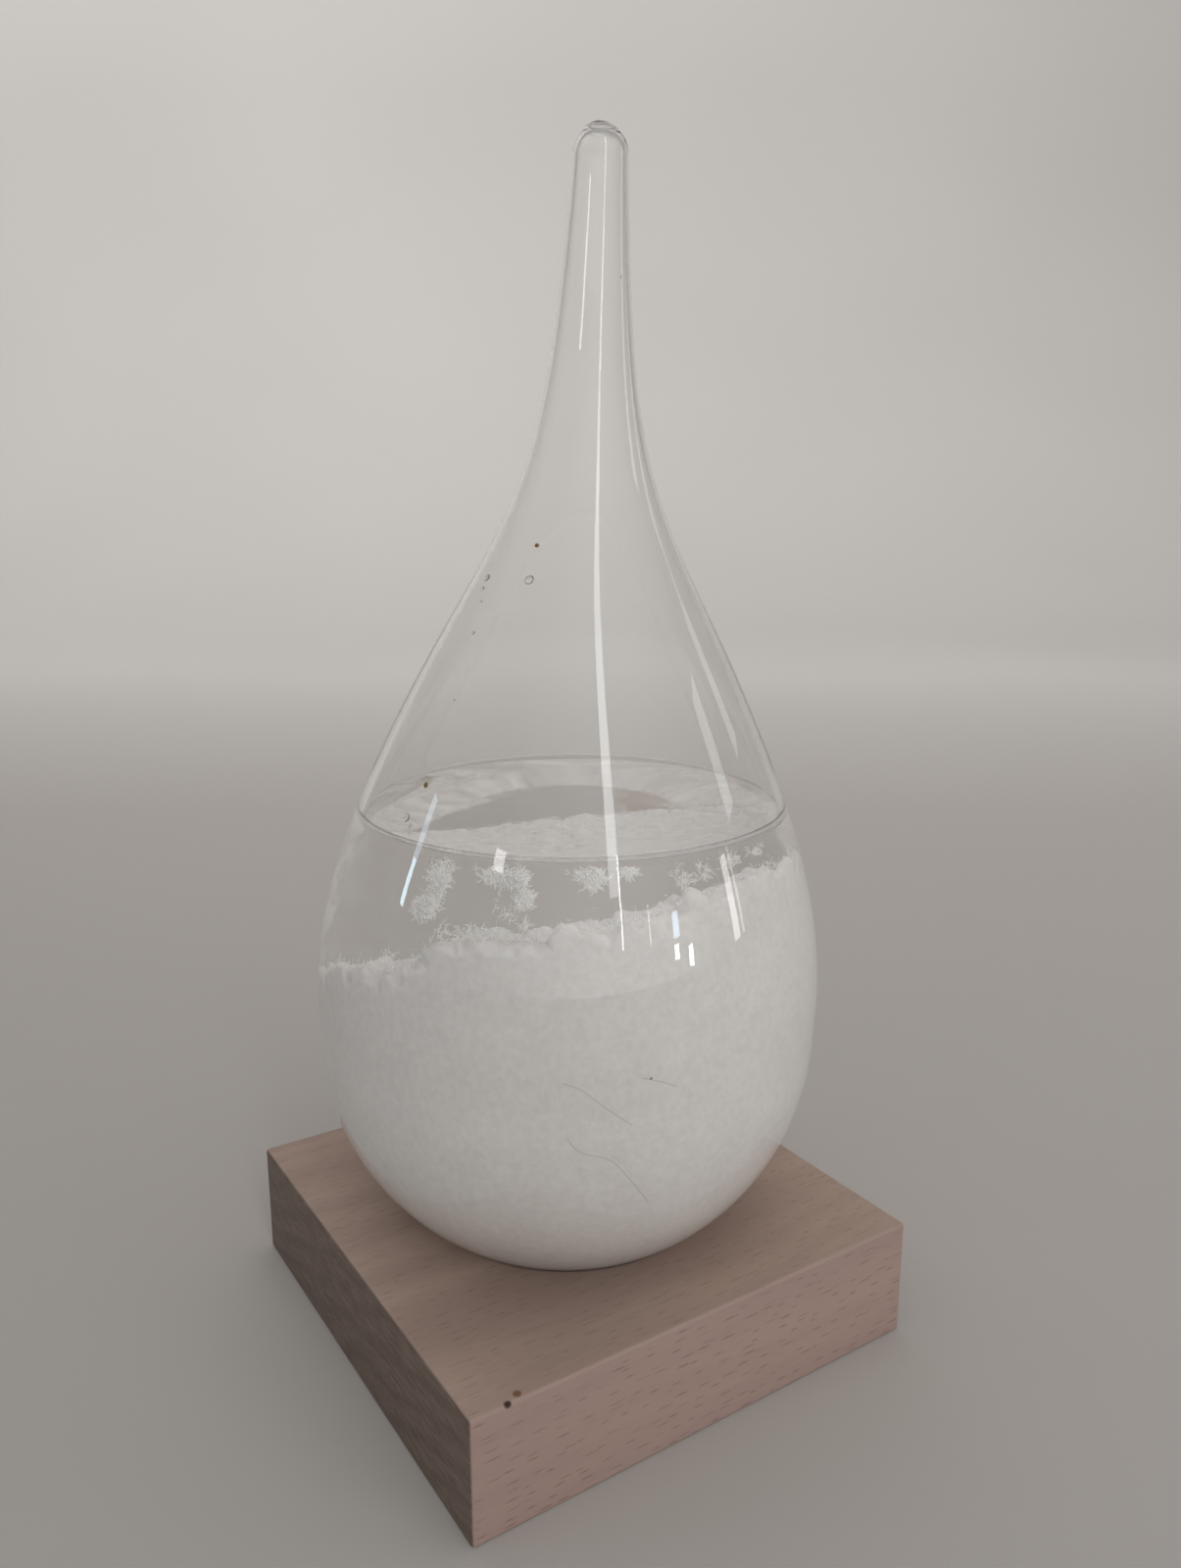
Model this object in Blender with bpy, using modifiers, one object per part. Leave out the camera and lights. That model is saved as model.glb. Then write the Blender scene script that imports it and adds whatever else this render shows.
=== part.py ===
"""Teardrop storm glass on a square beech block.

Metres, +Z up. The origin is the middle of the block's underside. The glass has a round bottom that
sits in a ball-shaped seat, so it can lean a little, and it lifts straight up off the block.
"""

from math import asin, atan2, cos, pi, radians, sin, sqrt, tan

import bmesh
import bpy
from mathutils import Matrix, Vector

MM = 0.001

# Base block
BLOCK_SIDE = 100.0 * MM
BLOCK_HEIGHT = 24.8 * MM
BLOCK_EDGE = 0.8 * MM
WELL_RADIUS = 22.0 * MM
WELL_FLOOR = 5.0 * MM

# Glass outline: a ball below, a shoulder curve, a neck curve and a round tip
BALL_RADIUS = 50.5 * MM
BALL_HEIGHT = 65.3 * MM
SHOULDER_END = Vector((24.0 * MM, 148.6 * MM))
SHOULDER_SLOPE = radians(29.0)
SHOULDER_HANDLES = (12.0 * MM, 61.5 * MM)
NECK_BEND = Vector((7.6 * MM, 180.5 * MM))
NECK_HANDLE = 26.5 * MM
TIP_RADIUS = 5.05 * MM
TIP_HEIGHT = 228.5 * MM
WALL = 1.5 * MM
PORT_RADIUS = 5.0 * MM

# How the glass stands: it leans about the ball's centre, in the seat
LEAN = radians(2.35)
LEAN_TOWARDS = radians(-34.0)

# Contents
LIQUID_LEVEL = 109.1 * MM
BED_MIDDLE = 88.5 * MM
BED_SLOPE = 0.375
BED_RISES_TOWARDS = radians(-75.0)
BED_LUMP = 1.6 * MM
BED_LUMP_ACROSS = 7.0 * MM
BED_LUMP_ALONG = 9.0 * MM
BED_SWELL = 0.5
BED_SWELL_LENGTH = 13.0 * MM
BED_CELL = 5.0 * MM

# Stopper in the filling port
PLUG_RADIUS = 4.7 * MM
BARB_RADIUS = 5.8 * MM
BARB_RISE = 3.2 * MM
FLANGE_RADIUS = 7.5 * MM
FLANGE_THICKNESS = 1.8 * MM
FLANGE_CROWN = 1.0 * MM
FLANGE_CHAMFER = 0.6 * MM
BARB_LIP = 0.8 * MM
BARB_HEEL = 0.3 * MM
PLUG_TAPER = 0.7 * MM

# Crystal clumps under the surface: bearing around the axis, width, depth below the surface
CLUMPS = {
    "crystal_clump_large": (radians(203.0), 7.0 * MM, 10.5 * MM),
    "crystal_clump_middle": (radians(222.0), 9.5 * MM, 6.0 * MM),
    "crystal_clump_small": (radians(241.0), 6.0 * MM, 4.0 * MM),
    "crystal_clump_tiny": (radians(250.0), 3.6 * MM, 2.6 * MM),
}
CLUMP_SINK = 0.5 * MM
SURFACE_RADIUS = 41.0 * MM
CLUMP_LUMP = 0.12
CLUMP_WAVES = (9.0, 8.0, 4.0)
CLUMP_SUBDIVISIONS = 2

GAP = 0.3 * MM
SEAT_CLEARANCE = 0.5 * MM
CUTTER_REACH = 10.0 * MM
TURN_STEPS = 36
SEAT_STEPS = 64
POCKET_STEPS = 16
MERGE = 0.00001
BALL_POINTS = 11
SEAT_POINTS = 4
CURVE_POINTS = 9
TIP_POINTS = 4

COLOURS = {
    "beech": ((0.66, 0.49, 0.38), 0.55, 0.0),
    "glass": ((0.93, 0.96, 0.96), 0.02, 1.0),
    "silicone": ((0.80, 0.80, 0.78), 0.45, 0.0),
    "liquid": ((0.95, 0.97, 0.97), 0.02, 1.0),
    "crystal": ((0.93, 0.94, 0.95), 0.70, 0.0),
}


def clear_scene():
    for item in list(bpy.data.objects):
        bpy.data.objects.remove(item, do_unlink=True)


def new_collection(name):
    collection = bpy.data.collections.new(name)
    bpy.context.scene.collection.children.link(collection)
    return collection


def new_material(name, kind):
    colour, roughness, transmission = COLOURS[kind]
    material = bpy.data.materials.new(name)
    material.use_nodes = True
    shader = material.node_tree.nodes["Principled BSDF"]
    shader.inputs["Base Color"].default_value = (*colour, 1.0)
    shader.inputs["Roughness"].default_value = roughness
    shader.inputs["Metallic"].default_value = 0.0
    shader.inputs["Transmission Weight"].default_value = transmission
    return material


def new_object(name, mesh, collection, kind=None):
    item = bpy.data.objects.new(name, mesh)
    collection.objects.link(item)
    if kind:
        mesh.materials.append(new_material(name, kind))
    return item


def as_cutter(item):
    item.hide_render = True
    item.display_type = "WIRE"
    return item


def mesh_from(builder):
    mesh = bpy.data.meshes.new("shape")
    shape = bmesh.new()
    builder(shape)
    shape.to_mesh(mesh)
    shape.free()
    return mesh


def cube_mesh(size, centre):
    def build(shape):
        bmesh.ops.create_cube(shape, size=1.0)
        bmesh.ops.scale(shape, vec=size, verts=shape.verts)
        bmesh.ops.translate(shape, vec=centre, verts=shape.verts)

    return mesh_from(build)


def cylinder_mesh(radius, low, high, steps):
    def build(shape):
        place = Matrix.Translation((0, 0, (low + high) / 2))
        bmesh.ops.create_cone(
            shape,
            cap_ends=True,
            segments=steps,
            radius1=radius,
            radius2=radius,
            depth=high - low,
            matrix=place,
        )

    return mesh_from(build)


def turned_mesh(outline):
    """An outline of (radius, height) points, from top to bottom, as edges in the XZ plane."""

    def build(shape):
        rim = [shape.verts.new((radius, 0, height)) for radius, height in outline]
        for above, below in zip(rim, rim[1:]):
            shape.edges.new((above, below))

    return mesh_from(build)


def turn(item, steps):
    screw = item.modifiers.new("turn", "SCREW")
    screw.axis = "Z"
    screw.angle = 2 * pi
    screw.steps = steps
    screw.render_steps = steps
    screw.use_merge_vertices = True
    screw.merge_threshold = MERGE
    screw.use_smooth_shade = True
    return item


def boolean(item, operation, cutter):
    step = item.modifiers.new(operation.lower(), "BOOLEAN")
    step.operation = operation
    step.object = cutter
    step.solver = "EXACT"


def bezier(start, start_handle, end_handle, end, count):
    points = []
    for step in range(count + 1):
        t = step / count
        s = 1 - t
        points.append(s**3 * start + 3 * s * s * t * start_handle + 3 * s * t * t * end_handle + t**3 * end)
    return points


def arc(centre_height, radius, start, end, count):
    """Points on a circle about the axis point at centre_height; angles are measured from the horizontal."""
    angles = [start + (end - start) * step / count for step in range(count + 1)]
    return [Vector((radius * cos(angle), centre_height + radius * sin(angle))) for angle in angles]


def glass_outline():
    """The glass's outer side from the tip down to the bottom pole."""
    slope = Vector((sin(SHOULDER_SLOPE), -cos(SHOULDER_SLOPE)))
    equator = Vector((BALL_RADIUS, BALL_HEIGHT))
    tip = arc(TIP_HEIGHT, TIP_RADIUS, pi / 2, 0, TIP_POINTS)
    neck = bezier(tip[-1], NECK_BEND, SHOULDER_END - NECK_HANDLE * slope, SHOULDER_END, CURVE_POINTS)
    handle, long_handle = SHOULDER_HANDLES
    shoulder = bezier(
        SHOULDER_END, SHOULDER_END + long_handle * slope, equator + Vector((0, handle)), equator, CURVE_POINTS
    )
    ball = arc(BALL_HEIGHT, BALL_RADIUS, 0, -pi / 2, BALL_POINTS)
    return tip + neck[1:] + shoulder[1:] + ball[1:]


def inset(outline, distance):
    """The outline moved towards the axis along its own normals; the poles move straight up or down."""
    moved = []
    for index, point in enumerate(outline):
        before = outline[max(index - 1, 0)]
        after = outline[min(index + 1, len(outline) - 1)]
        along = (after - before).normalized()
        inward = Vector((along.y, -along.x))
        if index == 0:
            inward = Vector((0, -1))
        if index == len(outline) - 1:
            inward = Vector((0, 1))
        moved.append(point + distance * inward)
    moved[0].x = 0
    moved[-1].x = 0
    return moved


def bed_height(x, y):
    """The top of the crystal bed: a slope with soft lumps."""
    across = x * cos(BED_RISES_TOWARDS) + y * sin(BED_RISES_TOWARDS)
    along = -x * sin(BED_RISES_TOWARDS) + y * cos(BED_RISES_TOWARDS)
    lumps = sin(across / BED_LUMP_ACROSS) * cos(along / BED_LUMP_ALONG)
    swell = BED_SWELL * sin((across + 2 * along) / BED_SWELL_LENGTH)
    return BED_MIDDLE + BED_SLOPE * across + BED_LUMP * (lumps + swell)


def bed_volume(name, lift, cutters):
    """Everything below the bed's top, raised by lift, as a closed cutter."""
    half = BALL_RADIUS + CUTTER_REACH
    cells = round(2 * half / BED_CELL)

    def build(shape):
        bmesh.ops.create_grid(shape, x_segments=cells, y_segments=cells, size=half)
        top = shape.faces[:]
        floor = bmesh.ops.extrude_face_region(shape, geom=top)["geom"]
        below = {item for item in floor if isinstance(item, bmesh.types.BMVert)}
        for vert in shape.verts:
            vert.co.z = 0 if vert in below else bed_height(vert.co.x, vert.co.y) + lift
        bmesh.ops.recalc_face_normals(shape, faces=shape.faces)

    return as_cutter(new_object(name, mesh_from(build), cutters))


def make_block(parts, cutters):
    mesh = cube_mesh((BLOCK_SIDE, BLOCK_SIDE, BLOCK_HEIGHT), (0, 0, BLOCK_HEIGHT / 2))
    block = new_object("base_block", mesh, parts, "beech")
    ease = block.modifiers.new("eased_edges", "BEVEL")
    ease.width = BLOCK_EDGE
    ease.segments = 2

    radius = BALL_RADIUS + SEAT_CLEARANCE
    rim = asin((BLOCK_HEIGHT - BALL_HEIGHT) / radius)
    edge = -atan2(sqrt(radius**2 - WELL_RADIUS**2), WELL_RADIUS)
    above = Vector((radius * cos(rim), BLOCK_HEIGHT + CUTTER_REACH))
    seat = arc(BALL_HEIGHT, radius, rim, edge, SEAT_POINTS)
    well = [Vector((WELL_RADIUS, WELL_FLOOR)), Vector((0, WELL_FLOOR))]
    outline = [Vector((0, above.y)), above] + seat + well
    cutter = as_cutter(new_object("seat_cutter", turned_mesh(outline), cutters))
    turn(cutter, SEAT_STEPS)
    boolean(block, "DIFFERENCE", cutter)
    return block


def make_vessel(parts, stand):
    outline = glass_outline()
    port = next(index for index, point in enumerate(outline) if index > TIP_POINTS and point.x < PORT_RADIUS)
    rim = Vector((PORT_RADIUS, BALL_HEIGHT - sqrt(BALL_RADIUS**2 - PORT_RADIUS**2)))
    vessel = turn(new_object("glass_vessel", turned_mesh(outline[:port] + [rim]), parts, "glass"), TURN_STEPS)
    shell = vessel.modifiers.new("wall", "SOLIDIFY")
    shell.thickness = WALL
    shell.offset = -1
    shell.use_even_offset = True
    vessel.parent = stand
    return vessel


def make_stopper(parts, stand):
    seat = BALL_HEIGHT - BALL_RADIUS - GAP
    inside = BALL_HEIGHT - BALL_RADIUS + WALL + GAP
    outline = [
        (0, inside + BARB_RISE),
        (PLUG_RADIUS - PLUG_TAPER, inside + BARB_RISE),
        (BARB_RADIUS, inside + BARB_LIP),
        (BARB_RADIUS, inside + BARB_HEEL),
        (PLUG_RADIUS, inside),
        (PLUG_RADIUS, seat),
        (FLANGE_RADIUS, seat),
        (FLANGE_RADIUS, seat - FLANGE_THICKNESS),
        (FLANGE_RADIUS - FLANGE_CROWN, seat - FLANGE_THICKNESS - FLANGE_CHAMFER),
        (0, seat - FLANGE_THICKNESS - FLANGE_CROWN),
    ]
    stopper = turn(new_object("filling_stopper", turned_mesh(outline), parts, "silicone"), TURN_STEPS)
    stopper.parent = stand
    return stopper


def make_contents(name, kind, parts, stand):
    """A solid that fills the inside of the glass up to the shoulder, for the liquid or the crystals."""
    lining = inset(glass_outline(), WALL + GAP)
    shoulder = TIP_POINTS + CURVE_POINTS
    top = LIQUID_LEVEL + CUTTER_REACH
    middle = next(index for index, point in enumerate(lining) if index > shoulder and point.y < top)
    outline = [Vector((0, lining[middle - 1].y))] + lining[middle - 1 :]
    contents = turn(new_object(name, turned_mesh(outline), parts, kind), TURN_STEPS)
    contents.parent = stand
    return contents


def clump_centre(bearing, width, depth):
    """A clump hangs from the surface, close to the front wall."""
    leaning = (LIQUID_LEVEL - BALL_HEIGHT) * tan(LEAN)
    axis = Vector((leaning * cos(LEAN_TOWARDS), leaning * sin(LEAN_TOWARDS)))
    out = SURFACE_RADIUS - 2 * GAP - width / 2
    place = axis + out * Vector((cos(bearing), sin(bearing)))
    return Vector((place.x, place.y, LIQUID_LEVEL - CLUMP_SINK - depth / 2))


def make_clump(name, parts, cutters, liquid):
    bearing, width, depth = CLUMPS[name]
    centre = clump_centre(bearing, width, depth)

    def build(shape):
        bmesh.ops.create_icosphere(shape, subdivisions=CLUMP_SUBDIVISIONS, radius=0.5)
        wave_x, wave_y, wave_z = CLUMP_WAVES
        for vert in shape.verts:
            lump = sin(wave_x * vert.co.x + wave_z * vert.co.z) * cos(wave_y * vert.co.y)
            vert.co *= 1 - CLUMP_LUMP * (1 + lump) / 2
        bmesh.ops.scale(shape, vec=(width, width, depth), verts=shape.verts)

    clump = new_object(name, mesh_from(build), parts, "crystal")
    clump.location = centre
    low = LIQUID_LEVEL - CLUMP_SINK - depth - GAP
    well = cylinder_mesh(width / 2 + GAP, low, LIQUID_LEVEL + CUTTER_REACH, POCKET_STEPS)
    pocket = as_cutter(new_object(name + "_pocket", well, cutters))
    pocket.location = (centre.x, centre.y, 0)
    boolean(liquid, "DIFFERENCE", pocket)
    return clump


def main():
    clear_scene()
    parts = new_collection("storm_glass")
    cutters = new_collection("cutters")
    stand = bpy.data.objects.new("glass_lean", None)
    parts.objects.link(stand)
    lean_axis = Vector((-sin(LEAN_TOWARDS), cos(LEAN_TOWARDS), 0))
    pivot = Matrix.Translation((0, 0, BALL_HEIGHT))
    stand.matrix_world = pivot @ Matrix.Rotation(LEAN, 4, lean_axis) @ pivot.inverted()

    make_block(parts, cutters)
    make_vessel(parts, stand)
    make_stopper(parts, stand)

    bed = make_contents("crystal_bed", "crystal", parts, stand)
    boolean(bed, "INTERSECT", bed_volume("bed_below", 0, cutters))
    barb_top = BALL_HEIGHT - BALL_RADIUS + WALL + GAP + BARB_RISE
    hollow = cylinder_mesh(BARB_RADIUS + 2 * GAP, 0, barb_top + 2 * GAP, TURN_STEPS)
    hollow_cutter = as_cutter(new_object("stopper_hollow", hollow, cutters))
    hollow_cutter.parent = stand
    boolean(bed, "DIFFERENCE", hollow_cutter)

    liquid = make_contents("storm_solution", "liquid", parts, stand)
    boolean(liquid, "DIFFERENCE", bed_volume("bed_above", GAP, cutters))
    across = 2 * (BALL_RADIUS + CUTTER_REACH)
    surface = cube_mesh((across, across, LIQUID_LEVEL), (0, 0, LIQUID_LEVEL / 2))
    boolean(liquid, "INTERSECT", as_cutter(new_object("surface_cutter", surface, cutters)))
    for name in CLUMPS:
        make_clump(name, parts, cutters, liquid)


main()
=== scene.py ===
"""Looks for the teardrop storm glass: blown glass, clear solution, white crystals and a beech block.

Metres, +Z up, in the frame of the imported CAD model.
"""

from math import asin, atan2, cos, exp, pi, radians, sin, sqrt

import bmesh
import bpy
import numpy as np
from mathutils import Matrix, Vector, noise


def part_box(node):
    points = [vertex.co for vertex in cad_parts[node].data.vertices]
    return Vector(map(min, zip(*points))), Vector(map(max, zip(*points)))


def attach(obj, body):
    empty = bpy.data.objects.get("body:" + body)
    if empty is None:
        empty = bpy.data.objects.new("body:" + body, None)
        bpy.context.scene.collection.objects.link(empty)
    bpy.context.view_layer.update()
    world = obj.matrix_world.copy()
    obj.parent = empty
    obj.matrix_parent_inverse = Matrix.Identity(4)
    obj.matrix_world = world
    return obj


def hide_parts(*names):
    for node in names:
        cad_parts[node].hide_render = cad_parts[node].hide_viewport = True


MM = 0.001
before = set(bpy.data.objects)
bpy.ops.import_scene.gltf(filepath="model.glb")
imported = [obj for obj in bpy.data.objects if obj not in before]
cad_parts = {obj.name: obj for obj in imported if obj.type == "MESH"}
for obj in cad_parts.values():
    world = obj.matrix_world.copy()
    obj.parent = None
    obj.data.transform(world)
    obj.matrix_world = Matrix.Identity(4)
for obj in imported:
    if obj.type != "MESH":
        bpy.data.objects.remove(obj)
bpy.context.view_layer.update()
SCENE = bpy.context.scene

# ------------ sizes, as in the CAD model
block_low, block_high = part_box("base_block")

BLOCK_TOP = block_high.z
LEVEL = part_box("storm_solution")[1].z
SURFACE_RADIUS = 41.0 * MM
SEAT_CLEARANCE = 0.15 * MM
WELL_RADIUS = 22.0 * MM
WELL_FLOOR = 5.0 * MM
SEAT_EASE = 0.35 * MM
SEAT_POINTS = 14
SEAT_STEPS = 160
CUTTER_REACH = 10.0 * MM
BLOCK_EDGE = 0.7 * MM
PIT_SIZE = (0.6 * MM, 0.5 * MM, 0.35 * MM)
PIT_PLACE = (-42.8 * MM, -49.75 * MM, BLOCK_TOP)

BALL_RADIUS = 50.5 * MM
BALL_HEIGHT = 65.3 * MM
SHOULDER_END = Vector((24.0 * MM, 148.6 * MM))
SHOULDER_SLOPE = radians(29.0)
SHOULDER_HANDLES = (12.0 * MM, 61.5 * MM)
NECK_BEND = Vector((7.6 * MM, 180.5 * MM))
NECK_HANDLE = 26.5 * MM
TIP_RADIUS = 5.05 * MM
TIP_HEIGHT = 228.5 * MM
PORT_RADIUS = 5.0 * MM
LEAN = radians(2.35)
LEAN_TOWARDS = radians(-34.0)

# ------------ sizes of the fine surface
BULB_WALL = 1.5 * MM
NECK_WALL = 0.95 * MM
WALL_THINS_FROM = 110.0 * MM
WALL_THINS_OVER = 60.0 * MM
TIP_GLASS = 1.5 * MM
TIP_INNER_RADIUS = 3.4 * MM
TIP_MOUND = 0.45 * MM
TIP_MOUND_WIDTH = 1.7 * MM
TIP_MOUND_AT = Vector((-1.0 * MM, 0.6 * MM))
SWELL = 0.004
SWELL_FROM = 80.0 * MM
SWELL_OVER = 60.0 * MM
GLASS_STEPS = 320
BALL_POINTS = 34
CURVE_POINTS = 28
TIP_POINTS = 10

PLUG_RADIUS = 4.7 * MM
BARB_RADIUS = 5.8 * MM
FLANGE_RADIUS = 7.5 * MM
FLANGE_ROUND = 0.8 * MM
FLANGE_TURN = 0.95 * pi
FLANGE_POINTS = 6
STOPPER_GAP = 0.3 * MM
LIQUID_OVERLAP = 0.5 * MM
MENISCUS_RISE = 1.7 * MM
MENISCUS_LENGTH = 2.3 * MM
SURFACE_SHARES = (0.12, 0.3, 0.5, 0.68, 0.8, 0.87, 0.91, 0.935, 0.955, 0.97, 0.98, 0.99, 1.0)
SOLUTION_ROWS = 64

BED_MIDDLE = 88.5 * MM
BED_SLOPE = 0.375
BED_RISES_TOWARDS = radians(-75.0)
BED_INSET = 0.35 * MM
BED_UNDER_SURFACE = 2.0 * MM
BED_STEPS = 240
BED_SIDE_RINGS = 60
BED_TOP_RINGS = 60
BED_VOXEL = 0.65 * MM
BED_ROLL = 1.2 * MM
BED_PUFFS = ((2.6 * MM, 120, (5, 9, 2)), (1.7 * MM, 290, (6, 5, 3)), (0.7 * MM, 700, (8, 9, 7)))
BED_SINK = 1.3 * MM
BED_RING_SPREAD = 1.6
PUFFS = ((2.6 * MM, 190), (1.4 * MM, 430))
PUFF_GRAIN = 0.3 * MM
PUFF_FADE = 9.0 * MM
PUFF_GAP = 0.05 * MM
FEATHER_DRAWS = 10000
SPRAY_START_MM = 44
BANK_SIDE = radians(237)
BANK_RADIUS = 46.0 * MM
BANK_FALL = 0.25
BANK_DEPTH = 14.0 * MM
BANK_HUMP = 4.0 * MM
BANK_HUMP_AT = radians(214)
BANK_HUMP_WIDTH = radians(10)
BANK_DIP = 1.2 * MM
BANK_DIP_AT = radians(253)
BANK_DIP_WIDTH = radians(14)

# ------------ floating clumps
# Each clump: size, seed, lobes. Lobes: place across and up, as shares of half the clump's box; width
# and height in mm; ferns
CLUMPS = (
    ("large", 21, ((0.3, 0.45, 3.4, 4.8, 110), (0.0, 0.0, 2.4, 3.0, 40), (-0.35, -0.6, 4.4, 3.2, 140))),
    ("middle", 22, ((-0.6, 0.5, 4.4, 1.6, 100), (0.2, 0.4, 4.0, 2.4, 140), (0.65, -0.7, 2.0, 2.2, 70))),
    ("small", 23, ((0.0, 0.4, 4.4, 1.0, 110), (0.1, -0.4, 1.8, 1.0, 40))),
    ("tiny", 24, ((0.0, 0.3, 2.2, 0.6, 40),)),
)

# Bubbles over the clumps: from and to bearing in degrees, number, radius in mm; and bearings along the rim
CLUMP_BUBBLES = ((199, 209, 9, 0.5), (210, 227, 12, 0.55), (234, 243, 10, 0.55), (246, 250, 3, 0.35))
RIM_BUBBLES = (258, 262, 264, 268, 271, 280, 280.8)

# Sprays of ferns on the bed by the glass: bearing in degrees, height in mm, spread in degrees and mm, ferns
SPRAYS = (
    (222.5, 102.6, 1.0, 1.6, 10),
    (225.0, 100.6, 1.2, 1.2, 16),
    (228.5, 99.2, 1.6, 0.7, 22),
    (232.5, 97.6, 1.6, 0.7, 20),
    (266.0, 105.2, 3.0, 1.6, 46),
    (272.0, 105.8, 2.6, 1.6, 40),
    (281.0, 106.6, 4.0, 1.4, 44),
    (290.0, 106.8, 4.0, 1.2, 34),
    (210.0, 97.0, 3.0, 1.0, 26),
    (196.0, 90.5, 4.0, 1.2, 30),
    (218.0, 97.5, 5.0, 1.0, 60),
    (240.0, 97.5, 5.0, 1.0, 50),
    (252.0, 99.5, 5.0, 1.0, 50),
)

# ------------ the glass leans about the ball's centre
PIVOT = Vector((0, 0, BALL_HEIGHT))
LEAN_AXIS = Vector((-sin(LEAN_TOWARDS), cos(LEAN_TOWARDS), 0))
LEANING = Matrix.Translation(PIVOT) @ Matrix.Rotation(LEAN, 4, LEAN_AXIS) @ Matrix.Translation(-PIVOT)
GLASS_AXIS = (LEANING.to_3x3() @ Vector((0, 0, 1))).normalized()


# ------------ outlines
def polar(radius, bearing, height):
    return Vector((radius * cos(bearing), radius * sin(bearing), height))


def bezier(start, start_handle, end_handle, end, count):
    points = []
    for step in range(count + 1):
        t = step / count
        s = 1 - t
        points.append(s**3 * start + 3 * s * s * t * start_handle + 3 * s * t * t * end_handle + t**3 * end)
    return points


def arc(centre_height, radius, start, end, count):
    angles = [start + (end - start) * step / count for step in range(count + 1)]
    return [Vector((radius * cos(a), centre_height + radius * sin(a))) for a in angles]


def glass_outline():
    """The outer side as (radius, height), from the tip down to the bottom pole."""
    slope = Vector((sin(SHOULDER_SLOPE), -cos(SHOULDER_SLOPE)))
    equator = Vector((BALL_RADIUS, BALL_HEIGHT))
    tip = arc(TIP_HEIGHT, TIP_RADIUS, pi / 2, 0, TIP_POINTS)
    neck = bezier(tip[-1], NECK_BEND, SHOULDER_END - NECK_HANDLE * slope, SHOULDER_END, CURVE_POINTS)
    handle, long_handle = SHOULDER_HANDLES
    leaving = SHOULDER_END + long_handle * slope
    arriving = equator + Vector((0, handle))
    shoulder = bezier(SHOULDER_END, leaving, arriving, equator, CURVE_POINTS)
    ball = arc(BALL_HEIGHT, BALL_RADIUS, 0, -pi / 2, BALL_POINTS)
    return tip + neck[1:] + shoulder[1:] + ball[1:]


def wall_at(height):
    """The glass is thinner where the neck was drawn out."""
    drawn = min(max((height - WALL_THINS_FROM) / WALL_THINS_OVER, 0), 1)
    return BULB_WALL + (NECK_WALL - BULB_WALL) * drawn * drawn * (3 - 2 * drawn)


def inset(outline, distance_at):
    """The outline moved towards the axis along its normals, by a distance that depends on height."""
    moved = []
    for index, point in enumerate(outline):
        before = outline[max(index - 1, 0)]
        after = outline[min(index + 1, len(outline) - 1)]
        along = (after - before).normalized()
        inward = Vector((along.y, -along.x))
        moved.append(point + distance_at(point.y) * inward)
    return moved


OUTLINE = glass_outline()
LINING = inset(OUTLINE, wall_at)


def profile_lookup(points):
    heights = np.array([p.y for p in points])[::-1]
    radii = np.array([p.x for p in points])[::-1]
    return lambda height: float(np.interp(height, heights, radii))


inner_radius = profile_lookup([p for p in LINING if p.y > BALL_HEIGHT - BALL_RADIUS + BULB_WALL])
outer_radius = profile_lookup(OUTLINE)


# ------------ mesh helpers
def mesh_object(name, verts, faces, smooth=True):
    mesh = bpy.data.meshes.new(name)
    mesh.from_pydata([tuple(v) for v in verts], [], faces)
    if smooth:
        mesh.shade_smooth()
    item = bpy.data.objects.new(name, mesh)
    SCENE.collection.objects.link(item)
    return item


def object_from(shape, name, smooth=True):
    mesh = bpy.data.meshes.new(name)
    shape.to_mesh(mesh)
    shape.free()
    if smooth:
        mesh.shade_smooth()
    item = bpy.data.objects.new(name, mesh)
    SCENE.collection.objects.link(item)
    return item


def skin(name, rings, top, bottom, smooth=True):
    """A closed body through rings of equal length, from a top point down to a bottom point, facing out."""
    count = len(rings[0])
    verts = [top] + [v for ring in rings for v in ring] + [bottom]
    faces = []
    for step in range(count):
        after = (step + 1) % count
        faces.append((0, 1 + step, 1 + after))
        for row in range(len(rings) - 1):
            a = 1 + row * count
            b = a + count
            faces.append((a + step, b + step, b + after, a + after))
        last = 1 + (len(rings) - 1) * count
        faces.append((last + step, len(verts) - 1, last + after))
    return mesh_object(name, verts, faces, smooth)


def around(radius, height, steps):
    return [polar(radius, 2 * pi * k / steps, height) for k in range(steps)]


def turned(name, outline, steps):
    """A closed turned body; the outline starts and ends on the axis."""
    rings = [around(p[0], p[1], steps) for p in outline[1:-1]]
    return skin(name, rings, Vector((0, 0, outline[0][1])), Vector((0, 0, outline[-1][1])))


def lean(item):
    item.data.transform(LEANING)
    return item


def apply_modifiers(item):
    graph = bpy.context.evaluated_depsgraph_get()
    mesh = bpy.data.meshes.new_from_object(item.evaluated_get(graph))
    item.modifiers.clear()
    item.data = mesh
    return item


def level_height(radius, bearing, level):
    """The height in the glass's own frame at which a point of this radius and bearing is at a true level."""
    return BALL_HEIGHT + (level - BALL_HEIGHT + radius * sin(LEAN) * cos(bearing - LEAN_TOWARDS)) / cos(LEAN)


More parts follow.
